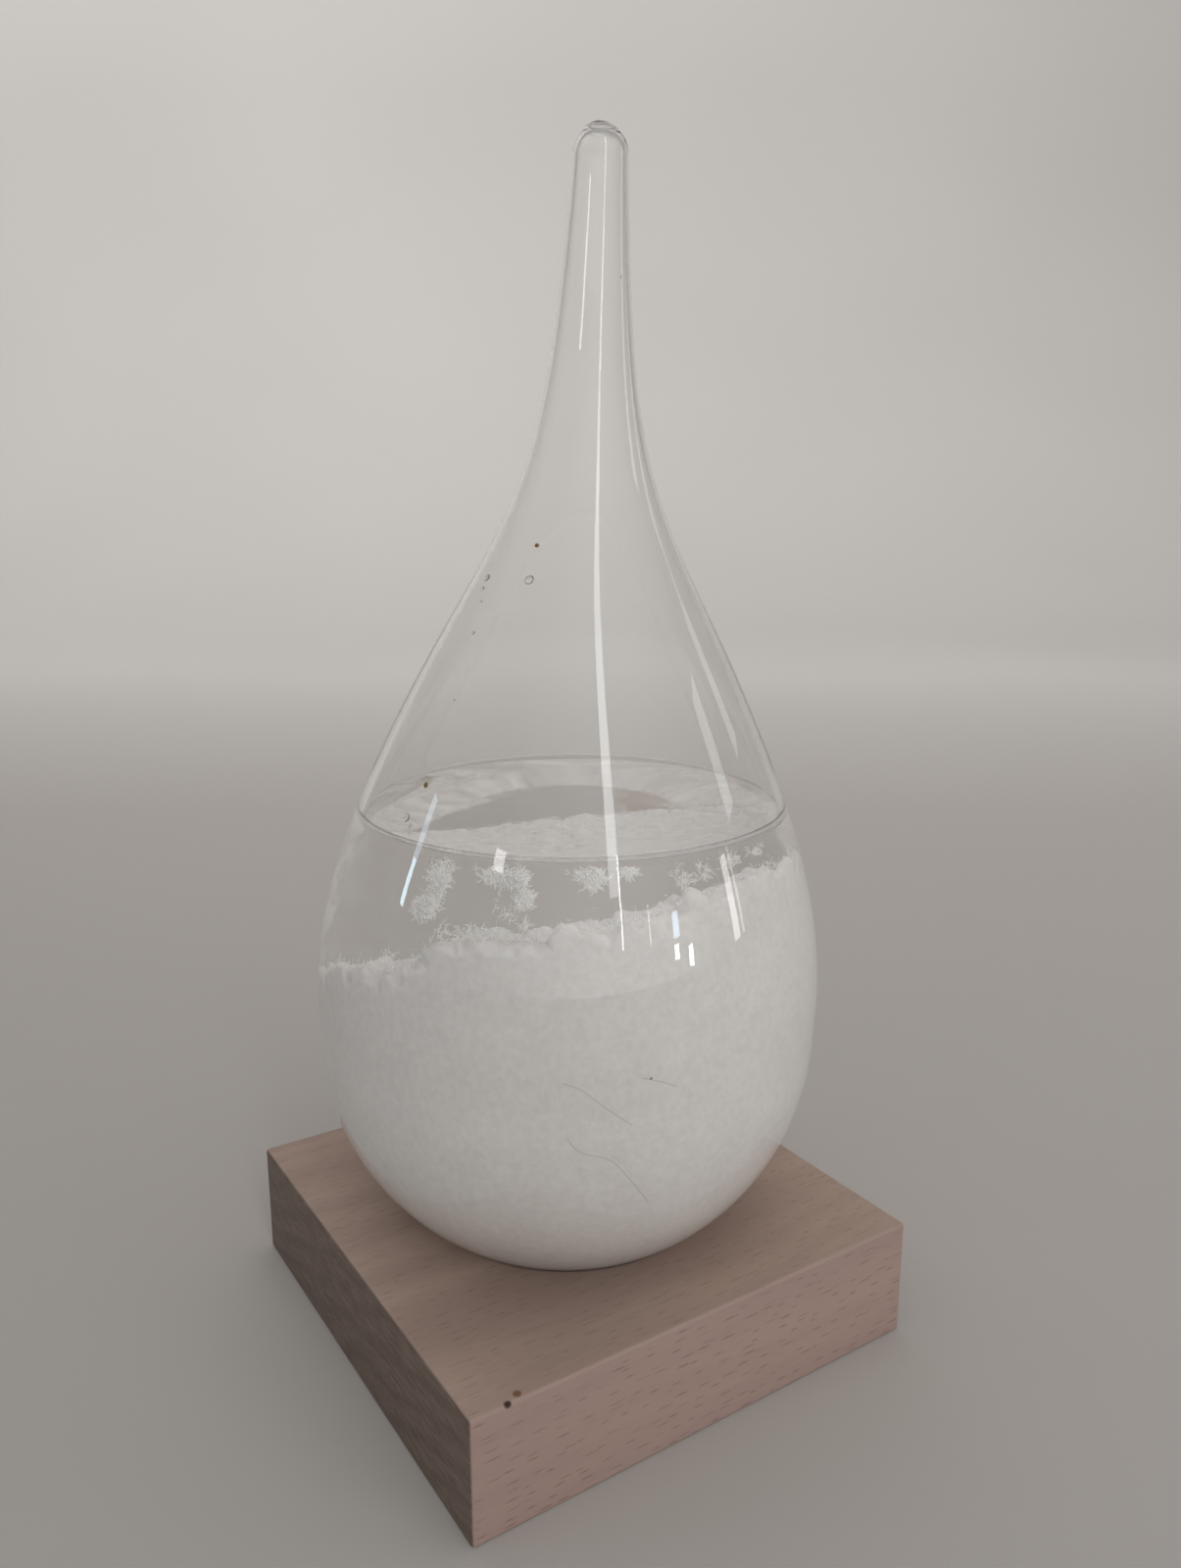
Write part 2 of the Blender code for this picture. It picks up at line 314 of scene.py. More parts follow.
# ------------ node helpers
class Nodes:
    """Builds one material's nodes. A socket or a plain value may be given for any input."""

    def __init__(self, name):
        self.material = bpy.data.materials.new(name)
        self.material.use_nodes = True
        self.tree = self.material.node_tree
        self.tree.nodes.clear()
        self.output = self.tree.nodes.new("ShaderNodeOutputMaterial")

    def add(self, kind, inputs=None, **settings):
        node = self.tree.nodes.new("ShaderNode" + kind)
        for key, value in settings.items():
            setattr(node, key, value)
        for key, value in (inputs or {}).items():
            self.feed(node.inputs[key], value)
        return node

    def feed(self, socket, value):
        if isinstance(value, bpy.types.NodeSocket):
            self.tree.links.new(value, socket)
        else:
            socket.default_value = value

    def maths(self, operation, a, b=0.0, clamp=False):
        return self.add("Math", {0: a, 1: b}, operation=operation, use_clamp=clamp).outputs[0]

    def span(self, value, low, high, to_low=0.0, to_high=1.0):
        node = self.add("MapRange", {"Value": value, "From Min": low, "From Max": high})
        node.inputs["To Min"].default_value = to_low
        node.inputs["To Max"].default_value = to_high
        return node.outputs[0]

    def noise(self, vector, scale, detail=3.0, roughness=0.5, distortion=0.0):
        inputs = {"Vector": vector, "Scale": scale, "Detail": detail}
        inputs.update({"Roughness": roughness, "Distortion": distortion})
        return self.add("TexNoise", inputs).outputs["Fac"]

    def mix(self, factor, a, b, blend="MIX"):
        node = self.add("Mix", data_type="RGBA", blend_type=blend)
        self.feed(node.inputs[0], factor)
        for index, value in ((6, a), (7, b)):
            colour = (*value, 1.0) if isinstance(value, tuple) and len(value) == 3 else value
            self.feed(node.inputs[index], colour)
        return node.outputs[2]

    def place(self):
        return self.add("TexCoord").outputs["Object"]

    def stretched(self, vector, scale, rotation=(0, 0, 0)):
        return self.add("Mapping", {"Vector": vector, "Scale": scale, "Rotation": rotation}).outputs[0]

    def bump(self, height, distance, strength=1.0, normal=None):
        node = self.add("Bump", {"Height": height, "Distance": distance, "Strength": strength})
        if normal:
            self.feed(node.inputs["Normal"], normal)
        return node.outputs[0]

    def finish(self, surface):
        self.tree.links.new(surface, self.output.inputs["Surface"])
        return self.material


def principled(nodes, **inputs):
    named = {key.replace("_", " "): value for key, value in inputs.items()}
    if isinstance(named["Base Color"], tuple):
        named["Base Color"] = (*named["Base Color"], 1.0)
    return nodes.add("BsdfPrincipled", named)


def lets_light_in(nodes, shader):
    """Clear walls pass lamp light straight on, so what they hold is lit."""
    path = nodes.add("LightPath")
    lamp = nodes.maths("MAXIMUM", path.outputs["Is Shadow Ray"], path.outputs["Is Diffuse Ray"])
    clear = nodes.add("BsdfTransparent", {"Color": (0.985, 0.98, 0.975, 1)})
    return nodes.add("MixShader", {0: lamp, 1: shader, 2: clear.outputs[0]}).outputs[0]


# ------------ materials
def glass_material():
    nodes = Nodes("blown_glass")
    place = nodes.place()
    film = nodes.noise(nodes.stretched(place, (260, 260, 60)), 1.0, 4.0, 0.6)
    ripple = nodes.noise(nodes.stretched(place, (90, 90, 12)), 1.0, 2.0, 0.4)
    shader = principled(
        nodes,
        Base_Color=(0.995, 0.995, 0.99),
        Roughness=nodes.span(film, 0.45, 0.75, 0.0, 0.035),
        IOR=1.48,
        Transmission_Weight=1.0,
        Normal=nodes.bump(ripple, 0.012 * MM, 0.5),
    )
    return nodes.finish(lets_light_in(nodes, shader.outputs[0]))


def solution_material():
    nodes = Nodes("clear_solution")
    haze = nodes.noise(nodes.place(), 120.0, 3.0, 0.5)
    shader = principled(
        nodes,
        Base_Color=(0.995, 0.99, 0.985),
        Roughness=nodes.span(haze, 0.4, 0.8, 0.0, 0.02),
        IOR=1.36,
        Transmission_Weight=1.0,
    )
    return nodes.finish(lets_light_in(nodes, shader.outputs[0]))


def crystal_material(name, glow, depth, grain, dull, clean):
    nodes = Nodes(name)
    place = nodes.place()
    cloud = nodes.noise(place, 150.0, 6.0, 0.65, 0.8)
    fine = nodes.noise(place, grain, 4.0, 0.7)
    tone = nodes.mix(nodes.span(cloud, 0.35, 0.65), dull, clean)
    tone = nodes.mix(nodes.span(fine, 0.35, 0.75, 0.0, 0.5), tone, (0.97, 0.96, 0.955))
    shader = principled(
        nodes,
        Base_Color=tone,
        Roughness=nodes.span(fine, 0.2, 0.8, 0.55, 0.9),
        IOR=1.40,
        Subsurface_Weight=glow,
        Subsurface_Radius=(1.0, 1.0, 1.0),
        Subsurface_Scale=depth,
        Normal=nodes.bump(fine, 0.15 * MM, 0.6),
    )
    return nodes.finish(shader.outputs[0])


def silicone_material():
    nodes = Nodes("milky_silicone")
    dust = nodes.noise(nodes.place(), 900.0, 3.0, 0.6)
    shader = principled(
        nodes,
        Base_Color=nodes.mix(nodes.span(dust, 0.4, 0.7), (0.74, 0.74, 0.71), (0.82, 0.82, 0.80)),
        Roughness=nodes.span(dust, 0.3, 0.7, 0.4, 0.55),
        Subsurface_Weight=0.4,
        Subsurface_Radius=(1.0, 0.95, 0.9),
        Subsurface_Scale=1.5 * MM,
        Normal=nodes.bump(dust, 0.02 * MM, 0.5),
    )
    return nodes.finish(shader.outputs[0])


def beech_material():
    """Beech with its grain along X: soft bands, short dark rays on the long-grain faces, fine end grain that
    is also painted darker as shade, and painted shade in a pit by the front corner.
    """
    nodes = Nodes("oiled_beech")
    place = nodes.place()
    shape = nodes.add("NewGeometry")
    facing = nodes.add("SeparateXYZ", {0: shape.outputs["Normal"]})
    end_grain = nodes.span(nodes.maths("ABSOLUTE", facing.outputs[0]), 0.6, 0.8)
    spot = nodes.add("SeparateXYZ", {0: place})

    wander = nodes.noise(nodes.stretched(place, (9, 30, 30)), 1.0, 3.0, 0.5)
    depth = nodes.maths("ADD", spot.outputs[2], nodes.maths("MULTIPLY", spot.outputs[1], 0.30))
    rings = nodes.maths("ADD", nodes.maths("MULTIPLY", depth, 420.0), nodes.maths("MULTIPLY", wander, 9.0))
    ring = nodes.maths("SINE", nodes.maths("MULTIPLY", rings, 2.4))
    bands = nodes.noise(nodes.stretched(place, (10, 75, 75)), 1.0, 4.0, 0.55, 0.6)
    fibre = nodes.noise(nodes.stretched(place, (120, 2600, 2600)), 1.0, 3.0, 0.6)
    pores = nodes.noise(nodes.stretched(place, (260, 1500, 1500)), 1.0, 2.0, 0.7)

    light = (0.45, 0.33, 0.27)
    mid = (0.36, 0.26, 0.215)
    dark = (0.24, 0.16, 0.13)
    tone = nodes.mix(nodes.span(bands, 0.32, 0.68), mid, light)
    tone = nodes.mix(nodes.span(ring, -1.0, 1.0, 0.0, 0.10), tone, dark)
    tone = nodes.mix(nodes.span(fibre, 0.35, 0.75, 0.0, 0.13), tone, dark)
    side_face = nodes.span(nodes.maths("ABSOLUTE", facing.outputs[1]), 0.3, 0.7)
    tone = nodes.mix(side_face, tone, nodes.mix(0.5, tone, (0.40, 0.28, 0.255)))

    flecks = ray_flecks(nodes, spot)
    long_grain = nodes.maths("SUBTRACT", 1.0, end_grain)
    upright = nodes.span(side_face, 0.0, 1.0, 0.40, 0.58)
    flat_face = nodes.maths("MAXIMUM", nodes.maths("ABSOLUTE", facing.outputs[1]), facing.outputs[2])
    long_grain = nodes.maths("MULTIPLY", long_grain, nodes.span(flat_face, 0.95, 0.99))
    flecks = nodes.maths("MULTIPLY", nodes.maths("MULTIPLY", flecks, long_grain), upright)
    tone = nodes.mix(flecks, tone, (0.13, 0.07, 0.055))

    across = nodes.noise(nodes.stretched(place, (300, 170, 1500)), 1.0, 3.0, 0.7)
    # End grain is darker than long grain. Its tone is also painted darker as shade, for the end face that the
    # light does not reach.
    end_grain_and_shade_tone = nodes.mix(nodes.span(across, 0.35, 0.65), (0.235, 0.175, 0.145), (0.14, 0.10, 0.08))
    end_grain_and_shade_tone = nodes.mix(nodes.span(ring, -0.4, 1.0, 0.0, 0.35), end_grain_and_shade_tone, (0.12, 0.08, 0.065))
    tone = nodes.mix(end_grain, tone, end_grain_and_shade_tone)
    tone = fleck_and_pit_shade(nodes, place, tone)

    relief = nodes.maths("ADD", nodes.maths("MULTIPLY", fibre, 0.5), nodes.maths("MULTIPLY", pores, 0.5))
    relief = nodes.maths("SUBTRACT", relief, nodes.maths("MULTIPLY", flecks, 0.5))
    shader = principled(
        nodes,
        Base_Color=tone,
        Roughness=nodes.span(fibre, 0.3, 0.7, 0.52, 0.68),
        Specular_IOR_Level=0.35,
        Normal=nodes.bump(relief, 0.08 * MM, 0.55),
    )
    return nodes.finish(shader.outputs[0])


def squared_share(nodes, value, whole):
    return nodes.maths("POWER", nodes.maths("DIVIDE", nodes.maths("ABSOLUTE", value), whole), 2.0)


def ray_flecks(nodes, spot):
    """Lens-shaped dashes, one in most cells of a grid that is long along the grain."""
    run = nodes.maths("MULTIPLY", spot.outputs[0], 1 / (5.0 * MM))
    side = nodes.maths("MULTIPLY", nodes.maths("SUBTRACT", spot.outputs[2], spot.outputs[1]), 1 / (1.9 * MM))
    flat = nodes.add("CombineXYZ", {0: run, 1: side}).outputs[0]
    grid = {"Vector": flat, "Scale": 1.0, "Randomness": 0.9}
    cells = nodes.add("TexVoronoi", grid, voronoi_dimensions="2D")
    apart = {0: flat, 1: cells.outputs["Position"]}
    offset = nodes.add("VectorMath", apart, operation="SUBTRACT").outputs[0]
    part = nodes.add("SeparateXYZ", {0: offset})
    pick = nodes.add("SeparateColor", {0: cells.outputs["Color"]})
    length = nodes.span(pick.outputs[0], 0.0, 1.0, 0.18, 0.46)
    width = nodes.span(pick.outputs[1], 0.0, 1.0, 0.06, 0.11)
    reach = squared_share(nodes, part.outputs[0], length)
    breadth = squared_share(nodes, part.outputs[1], width)
    inside = nodes.span(nodes.maths("ADD", reach, breadth), 0.0, 1.0, 1.0, 0.0)
    return nodes.maths("MULTIPLY", inside, nodes.span(pick.outputs[2], 0.0, 0.6, 0.15, 1.0))


def fleck_and_pit_shade(nodes, place, tone):
    """Two small marks by the front corner: painted shade over the pit on the edge, and a red-brown fleck
    beside it.
    """
    marks = (
        # Painted shade: a near-black spot over the pit that is cut into the front edge
        (Vector((-42.8 * MM, -49.8 * MM, BLOCK_TOP)), 0.75 * MM, (0.05, 0.03, 0.02)),
        (Vector((-40.4 * MM, -48.6 * MM, BLOCK_TOP)), 0.8 * MM, (0.20, 0.10, 0.05)),
    )
    for centre, radius, colour in marks:
        away = nodes.add("VectorMath", {0: place, 1: centre}, operation="DISTANCE").outputs["Value"]
        tone = nodes.mix(nodes.span(away, 0.7 * radius, 1.15 * radius, 1.0, 0.0), tone, colour)
    return tone


def studio_material():
    """Paper that is a little lighter further back than where the glass stands."""
    nodes = Nodes("pale_paper")
    place = nodes.place()
    mottle = nodes.span(nodes.noise(place, 1.2, 2.0, 0.5), 0.3, 0.7)
    back = nodes.add("VectorMath", {0: place, 1: DEPTH_AXIS}, operation="DOT_PRODUCT").outputs["Value"]
    near = nodes.mix(mottle, (0.46, 0.43, 0.405), (0.48, 0.45, 0.425))
    far = nodes.mix(mottle, (0.58, 0.56, 0.54), (0.62, 0.60, 0.58))
    tone = nodes.mix(nodes.span(back, 0.42, 0.95), near, far)
    shader = principled(nodes, Base_Color=tone, Roughness=0.75)
    return nodes.finish(shader.outputs[0])


def plain_speck_material(name, colour):
    nodes = Nodes(name)
    grain = nodes.noise(nodes.place(), 2500.0, 2.0, 0.6)
    dark = tuple(0.5 * c for c in colour)
    tone = nodes.mix(nodes.span(grain, 0.35, 0.7), colour, dark)
    shader = principled(nodes, Base_Color=tone, Roughness=0.7)
    return nodes.finish(shader.outputs[0])


GLASS = glass_material()
SOLUTION = solution_material()
CRYSTAL = crystal_material("crystal_bed_white", 0.7, 1.6 * MM, 700, (0.76, 0.74, 0.732), (0.80, 0.785, 0.772))
FERN = crystal_material("crystal_fern_white", 0.0, 0.6 * MM, 1600, (0.95, 0.95, 0.94), (0.98, 0.98, 0.975))
SILICONE = silicone_material()
BEECH = beech_material()


def finish_piece(item, material, body, replaced=()):
    item.data.materials.clear()
    item.data.materials.append(material)
    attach(item, body)
    if replaced:
        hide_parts(*replaced)
    return item


# ------------ glass vessel
def tip_mound(point):
    """The tip was sealed in a flame, so its cap is a little lopsided."""
    local = point.xy - TIP_MOUND_AT
    spread = (local.x**2 + local.y**2) / (2 * TIP_MOUND_WIDTH**2)
    return TIP_MOUND * exp(-spread) * min(max((point.z - TIP_HEIGHT) / TIP_RADIUS, 0), 1)


def port_rim(ball_radius):
    return Vector((PORT_RADIUS, BALL_HEIGHT - sqrt(ball_radius**2 - PORT_RADIUS**2)))


def port_index():
    """Where the outline, on its way down, first comes inside the port."""
    for index, point in enumerate(OUTLINE):
        if index > TIP_POINTS and point.y < BALL_HEIGHT and point.x < PORT_RADIUS:
            return index


def inner_cap(neck_radius):
    """The inside of the tip, as (radius, height): flat on top, with a round corner down to the neck."""
    top = TIP_HEIGHT + TIP_RADIUS - TIP_GLASS
    cap = [Vector((0, top)), Vector((0.45 * neck_radius, top))]
    centre = Vector((neck_radius - TIP_INNER_RADIUS, top - TIP_INNER_RADIUS))
    steps = 5
    for step in range(1, steps + 1):
        angle = pi / 2 * (1 - step / steps)
        cap.append(centre + TIP_INNER_RADIUS * Vector((cos(angle), sin(angle))))
    return cap


def make_vessel():
    port = port_index()
    outer = OUTLINE[:port] + [port_rim(BALL_RADIUS)]
    inner = [p for p in LINING[:port] if p.y < TIP_HEIGHT and (p.x > PORT_RADIUS or p.y > BALL_HEIGHT)]
    cap = inner_cap(inner[0].x)
    inner = cap + [p for p in inner if p.y < cap[-1].y - 0.2 * MM] + [port_rim(BALL_RADIUS - BULB_WALL)]
    vessel = turned("glass_teardrop", outer + inner[::-1], GLASS_STEPS)
    for vert in vessel.data.vertices:
        make_uneven(vert.co)
    return finish_piece(lean(vessel), GLASS, "glass", ["glass_vessel"])


def make_uneven(point):
    """Blown glass is never quite round, least of all where it was drawn out."""
    bearing = atan2(point.y, point.x)
    drawn = min(max((point.z - SWELL_FROM) / SWELL_OVER, 0), 1)
    wave = noise.noise(Vector((2.2 * cos(bearing), 2.2 * sin(bearing), point.z * 14)))
    swell = 1 + SWELL * drawn * wave
    point.z += tip_mound(point)
    point.x *= swell
    point.y *= swell


# ------------ solution
def make_solution(bubbles):
    """Everything below the surface. It runs a little into the glass, so no film of air shows."""
    steps = GLASS_STEPS
    bearings = [2 * pi * k / steps for k in range(steps)]
    wall = []
    for bearing in bearings:
        radius = SURFACE_RADIUS
        for _ in range(4):
            height = level_height(radius, bearing, LEVEL)
            radius = inner_radius(height)
        wall.append(radius)

    rings = []
    for share in SURFACE_SHARES:
        ring = []
        for bearing, reach in zip(bearings, wall):
            radius = reach * share
            rise = MENISCUS_RISE * exp(-(reach - radius) / MENISCUS_LENGTH)
            height = level_height(radius, bearing, LEVEL) + rise
            ring.append(polar(radius, bearing, height))
        rings.append(ring)
    tops = [v.z for v in rings[-1]]
    floor = BALL_HEIGHT - BALL_RADIUS + BULB_WALL - LIQUID_OVERLAP
    for row in range(SOLUTION_ROWS):
        share = sin(pi / 2 * row / SOLUTION_ROWS)
        ring = []
        for bearing, top in zip(bearings, tops):
            height = top + (floor - top) * share
            ring_radius = liquid_radius(height)
            ring.append(polar(ring_radius, bearing, height))
        rings.append(ring)
    centre = Vector((0, 0, level_height(0, 0, LEVEL)))
    solution = skin("clear_solution", rings, centre, Vector((0, 0, floor)))
    lean(solution)
    add_bubbles(solution, bubbles)
    return finish_piece(solution, SOLUTION, "glass", ["storm_solution"])


def liquid_radius(height):
    ball = BALL_RADIUS - BULB_WALL + LIQUID_OVERLAP
    if height < BALL_HEIGHT:
        return sqrt(max(ball**2 - (BALL_HEIGHT - height) ** 2, 0))
    return inner_radius(height) + LIQUID_OVERLAP


def add_bubbles(solution, bubbles):
    """Air bubbles are hollows of the liquid, so their faces point into them."""
    shape = bmesh.new()
    shape.from_mesh(solution.data)
    for centre, radius in bubbles:
        made = bmesh.ops.create_uvsphere(
            shape, u_segments=16, v_segments=10, radius=radius, matrix=Matrix.Translation(centre)
        )
        faces = {face for vert in made["verts"] for face in vert.link_faces}
        bmesh.ops.reverse_faces(shape, faces=list(faces))
    shape.to_mesh(solution.data)
    shape.free()
    solution.data.shade_smooth()


# ------------ crystal bed
def bed_height(x, y):
    """Crystals are banked up against one side of the glass and fall away from it, in cloud-like puffs."""
    across = x * cos(BED_RISES_TOWARDS) + y * sin(BED_RISES_TOWARDS)
    outward_reach = x * cos(BANK_SIDE) + y * sin(BANK_SIDE)
    sideways = y * cos(BANK_SIDE) - x * sin(BANK_SIDE)
    glass_reach = sqrt(max(BANK_RADIUS**2 - sideways**2, 0))
    inward = max(glass_reach - outward_reach, 0)
    height = BED_MIDDLE + BED_SLOPE * across - BANK_FALL * inward

    bearing = atan2(y, x) % (2 * pi)
    hump = BANK_HUMP * exp(-(((bearing - BANK_HUMP_AT) / BANK_HUMP_WIDTH) ** 2))
    dip = BANK_DIP * exp(-(((bearing - BANK_DIP_AT) / BANK_DIP_WIDTH) ** 2))
    height += (hump - dip) * exp(-inward / BANK_DEPTH)

    place = Vector((x, y, 0))
    height += BED_ROLL * noise.noise(place * 60 + Vector((3, 1, 4)))
    for rise, fineness, start in BED_PUFFS:
        height += rise * abs(noise.noise(place * fineness + Vector(start)))
    return height - BED_SINK


def bed_radius(height):
    ball = BALL_RADIUS - BULB_WALL - BED_INSET
    if height < BALL_HEIGHT:
        return sqrt(max(ball**2 - (BALL_HEIGHT - height) ** 2, 0))
    return inner_radius(height) - BED_INSET


def bed_top(x, y):
    return min(bed_height(x, y), LEVEL - BED_UNDER_SURFACE)


def bed_edge(bearing):
    """Where the bed's top meets the glass, as (radius, height) in the glass's own frame."""
    height = BED_MIDDLE
    for _ in range(6):
        radius = bed_radius(height)
        place = LEANING @ polar(radius, bearing, height)
        height = bed_top(place.x, place.y)
    return bed_radius(height), height


def make_bed():
    bearings = [2 * pi * k / BED_STEPS for k in range(BED_STEPS)]
    edges = [bed_edge(bearing) for bearing in bearings]
    floor = BALL_HEIGHT - BALL_RADIUS + BULB_WALL + BED_INSET
    rolls = [edge_roll(bearing) for bearing in bearings]
    rings = []
    for row in range(1, BED_TOP_RINGS + 1):
        share = 1 - (1 - row / BED_TOP_RINGS) ** BED_RING_SPREAD
        ring = []
        for bearing, (reach, edge_height), roll in zip(bearings, edges, rolls):
            radius = (reach - roll) * share
            place = polar(radius, bearing, edge_height)
            world = LEANING @ place
            sag = 0.5 * roll * exp(-(reach - roll - radius) / roll)
            place.z += bed_top(world.x, world.y) - world.z - sag
            ring.append(place)
        rings.append(ring)
    tops = [place.z for place in rings[-1]]
    for row in range(1, BED_SIDE_RINGS):
        share = (row / BED_SIDE_RINGS) ** BED_RING_SPREAD
        ring = []
        for bearing, top, roll in zip(bearings, tops, rolls):
            height = top + (floor - top) * sin(pi / 2 * share)
            radius = bed_radius(height) - roll * exp(-(top - height) / (1.2 * roll)) * (1 - share)
            ring.append(polar(radius, bearing, height))
        rings.append(ring)
    middle = LEANING @ Vector((0, 0, BED_MIDDLE))
    top = Vector((0, 0, BED_MIDDLE + bed_top(middle.x, middle.y) - middle.z))
    bed = skin("crystal_cloud", rings, top, Vector((0, 0, floor)))
    even = bed.modifiers.new("even_faces", "REMESH")
    even.mode = "VOXEL"
    even.voxel_size = BED_VOXEL
    apply_modifiers(bed)
    puff_up(bed, tops)
    bed.data.shade_smooth()
    return finish_piece(lean(bed), CRYSTAL, "glass", ["crystal_bed"])


def edge_roll(bearing):
    """How far the bed's rounded upper edge stands back from the glass."""
    wave = noise.noise(Vector((9 * cos(bearing), 9 * sin(bearing), 0)))
    return (1.5 + 1.3 * wave) * MM


def puff_up(bed, tops):
    """Swells the surface into puffs, strongest on top and fading down the side; it stays inside the glass."""
    highest = max(tops)
    normals = [vert.normal.copy() for vert in bed.data.vertices]
    for vert, normal in zip(bed.data.vertices, normals):
        place = vert.co
        bearing = atan2(place.y, place.x) % (2 * pi)
        below = tops[int(bearing / (2 * pi) * BED_STEPS) % BED_STEPS] - place.z
        strength = exp(-max(below, 0) / PUFF_FADE)
        swell = sum(rise * abs(noise.noise(place * fineness)) for rise, fineness in PUFFS)
        swell += PUFF_GRAIN * noise.noise(place * 900)
        place += normal * swell * strength
        place.z = min(place.z, highest)
        limit = bed_radius(place.z) - PUFF_GAP
        radius = sqrt(place.x**2 + place.y**2)
        if radius > limit:
            place.x *= limit / radius
            place.y *= limit / radius


# ------------ feathery crystals
class Crystals:
    """Collects flakes and curling needles into one mesh."""

    def __init__(self, seed):
        self.rng = np.random.default_rng(seed)
        self.verts = []
        self.faces = []

    def direction(self):
        return Vector(self.rng.normal(size=3)).normalized()

    def flake(self, centre, length, width, thickness):
        """A flat lozenge, closed, with eight faces, turned at random."""
        along = self.direction()
        normal = along.cross(self.direction()).normalized()
        side = normal.cross(along).normalized()
        start = len(self.verts)
        for offset in (along * length, side * width, -along * length, -side * width):
            self.verts.append(centre + offset / 2)
        self.verts.append(centre + normal * thickness / 2)
        self.verts.append(centre - normal * thickness / 2)
        for k in range(4):
            after = (k + 1) % 4
            self.faces.append((start + k, start + after, start + 4))
            self.faces.append((start + after, start + k, start + 5))

    def needle(self, points, radius):
        """A square-sided needle along the points, pointed at its far end and closed at both."""
        start = len(self.verts)
        guide = self.direction()
        for index, point in enumerate(points[:-1]):
            along = (points[index + 1] - point).normalized()
            side = along.cross(guide).normalized()
            up = along.cross(side)
            size = radius * (1 - 0.55 * index / len(points))
            for offset in (side, up, -side, -up):
                self.verts.append(point + offset * size)
        self.verts.append(points[-1])
        last = start + 4 * (len(points) - 2)
        self.faces.append((start + 3, start + 2, start + 1, start))
        for k in range(4):
            after = (k + 1) % 4
            for row in range(start, last, 4):
                self.faces.append((row + k, row + after, row + 4 + after, row + 4 + k))
            self.faces.append((last + k, last + after, len(self.verts) - 1))

    def curl(self, root, heading, length, radius, bend, branches=0):
        """A needle that curls as it grows, with shorter ones branching off both its sides."""
        step = 0.22 * MM
        turn = Matrix.Rotation(bend * step, 3, heading.cross(self.direction()).normalized())
        points = [root]
        for index in range(max(int(length / step), 2)):
            place = points[-1] + heading * step
            if not in_liquid(place, radius + 0.1 * MM):
                break
            points.append(place)
            heading = turn @ heading
            if branches and index % 2:
                side = heading.cross(self.direction()).normalized()
                shoot = (heading * 0.7 + side).normalized()
                share = 1 - index * step / length
                self.curl(place, shoot, length * 0.35 * share + step, radius * 0.8, bend * 1.6, branches - 1)
        if len(points) > 2:
            self.needle(points, radius)

    def piece(self, name, replaced=()):
        item = mesh_object(name, self.verts, self.faces, smooth=False)
        return finish_piece(item, FERN, "glass", replaced)


UPRIGHT = LEANING.inverted()


def in_liquid(world, margin):
    local = UPRIGHT @ world
    radius = sqrt(local.x**2 + local.y**2)
    return radius + margin < bed_radius(local.z) + BED_INSET and world.z + margin < LEVEL


def make_bed_feathers():
    """Flakes and short needles all over the bed's top, thickest where it meets the glass."""
    crystals = Crystals(11)
    rng = crystals.rng
    for index in range(FEATHER_DRAWS):
        bearing = rng.uniform(0, 2 * pi)
        reach = bed_edge(bearing)[0]
        by_glass = rng.uniform() < 0.6
        radius = reach - rng.exponential(0.8 * MM) if by_glass else reach * sqrt(rng.uniform(0.0, 1.0))
        height = bed_edge(bearing)[1]
        world = LEANING @ polar(radius, bearing, height)
        world.z = bed_top(world.x, world.y) + rng.exponential(0.5 * MM) - 0.35 * MM
        size = rng.uniform(0.2, 0.6) * MM
        if not in_liquid(world, 0.6 * size):
            continue
        if index % 3:
            crystals.flake(world, size, size * rng.uniform(0.4, 0.8), size * 0.3)
        else:
            heading = (crystals.direction() + Vector((0, 0, 0.4))).normalized()
            crystals.curl(world, heading, rng.uniform(0.7, 1.6) * MM, 0.05 * MM, 500)
    for bearing, height, width, tall, ferns in SPRAYS:
        for _ in range(ferns):
            turn = radians(bearing + rng.normal() * 0.4 * width)
            outwards = Vector((cos(turn), sin(turn), 0))
            start = (height + rng.normal() * 0.4 * tall) * MM
            root = outwards * SPRAY_START_MM * MM + Vector((0, 0, start))
            root = against_glass(root, outwards, rng.exponential(0.8 * MM) + 0.3 * MM)
            heading = (crystals.direction() + Vector((0, 0, 0.3))).normalized()
            crystals.curl(root, heading, rng.uniform(0.9, 2.0) * MM, 0.07 * MM, rng.uniform(200, 800), 1)
    return crystals.piece("crystal_feathers")


def make_clump(node, name, seed, lobes):
    """A floating clump: each lobe is a tangle of curling ferns."""
    crystals = Crystals(seed)
    rng = crystals.rng
    low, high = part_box(node)
    centre = (low + high) / 2
    bearing = atan2(centre.y, centre.x)
    sideways = Vector((-sin(bearing), cos(bearing), 0))
    outwards = Vector((cos(bearing), sin(bearing), 0))
    half_height = (high.z - low.z) / 2
    half_width = (high.x - low.x) / 2
    for across, up, width, height, ferns in lobes:
        for _ in range(ferns):
            angle = rng.uniform(0, 2 * pi)
            spread = sqrt(rng.uniform(0, 1))
            sway = across * half_width + 0.5 * width * MM * spread * cos(angle)
            rise = up * half_height + 0.5 * height * MM * spread * sin(angle)
            root = centre + sideways * sway + Vector((0, 0, rise))
            root = against_glass(root, outwards, rng.exponential(0.9 * MM) + 0.3 * MM)
            away = 0.6 * sideways * cos(angle) + Vector((0, 0, 0.6 * sin(angle)))
            heading = (crystals.direction() + away).normalized()
            crystals.curl(root, heading, rng.uniform(0.9, 2.2) * MM, 0.11 * MM, rng.uniform(200, 900), 1)
            for _ in range(6):
                spot = root + 0.6 * MM * crystals.direction()
                if in_liquid(spot, 0.15 * MM):
                    crystals.flake(spot, 0.42 * MM, 0.3 * MM, 0.1 * MM)
    return crystals.piece(name, [node])


